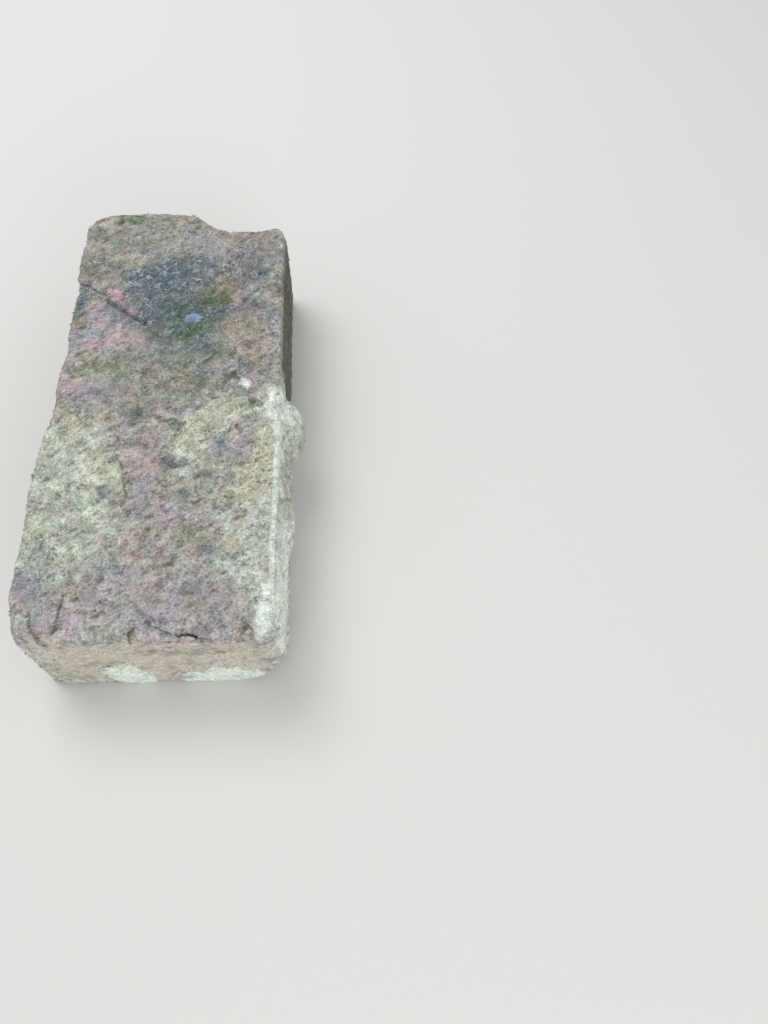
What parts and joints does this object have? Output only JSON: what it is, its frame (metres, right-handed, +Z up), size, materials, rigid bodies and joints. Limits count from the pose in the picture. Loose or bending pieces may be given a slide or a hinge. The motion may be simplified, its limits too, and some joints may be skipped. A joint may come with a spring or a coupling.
{
  "type": "clay brick",
  "caption": "Hand-moulded fired clay brick, reclaimed, with worn arrises, a split-off layer on its upper bed and old mortar stuck to one side; laid in masonry.",
  "frame": {"origin": "centre of the lower bed face, which the brick lies on", "axes": "+X across the brick to its right stretcher face, +Y along the brick to its far header face, +Z up to the upper bed"},
  "size_m": [0.1081, 0.2182, 0.05],
  "materials": {
    "fired_clay": "rough matt fired clay, pinkish grey, with lichen, algae and old mortar"
  },
  "bodies": {
    "root": {"brick": "fired_clay"}
  },
  "joints": []
}
